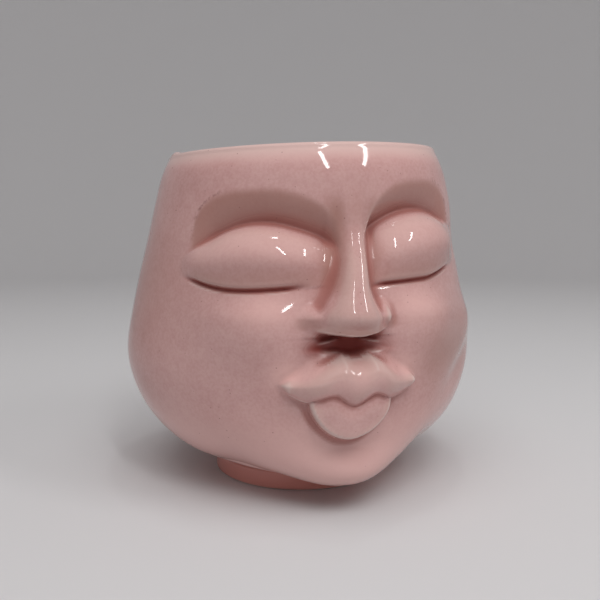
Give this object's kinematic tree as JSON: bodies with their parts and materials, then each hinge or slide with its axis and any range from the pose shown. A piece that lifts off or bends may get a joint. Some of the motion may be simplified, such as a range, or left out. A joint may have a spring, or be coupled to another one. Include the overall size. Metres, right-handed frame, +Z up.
{
  "type": "stoneware vase",
  "caption": "Open-topped glazed stoneware vase shaped as a calm face with closed lids, a straight nose and full lips, on a short round foot, for flowers or a small plant.",
  "frame": {"origin": "on the table, under the middle of the whole vase's box; the foot's centre lies 3.5 mm behind it", "axes": "+Z up, the face looks toward -Y, +X toward the viewer's right when facing the vase"},
  "size_m": [0.1212, 0.1244, 0.1127],
  "materials": {
    "pink_glaze": "gloss"
  },
  "bodies": {
    "root": {"body_wall": "pink_glaze", "floor_slab": "pink_glaze", "foot_ring": "pink_glaze", "left_eyelid": "pink_glaze", "right_eyelid": "pink_glaze", "nose": "pink_glaze", "upper_lip": "pink_glaze", "lower_lip": "pink_glaze"}
  },
  "joints": []
}
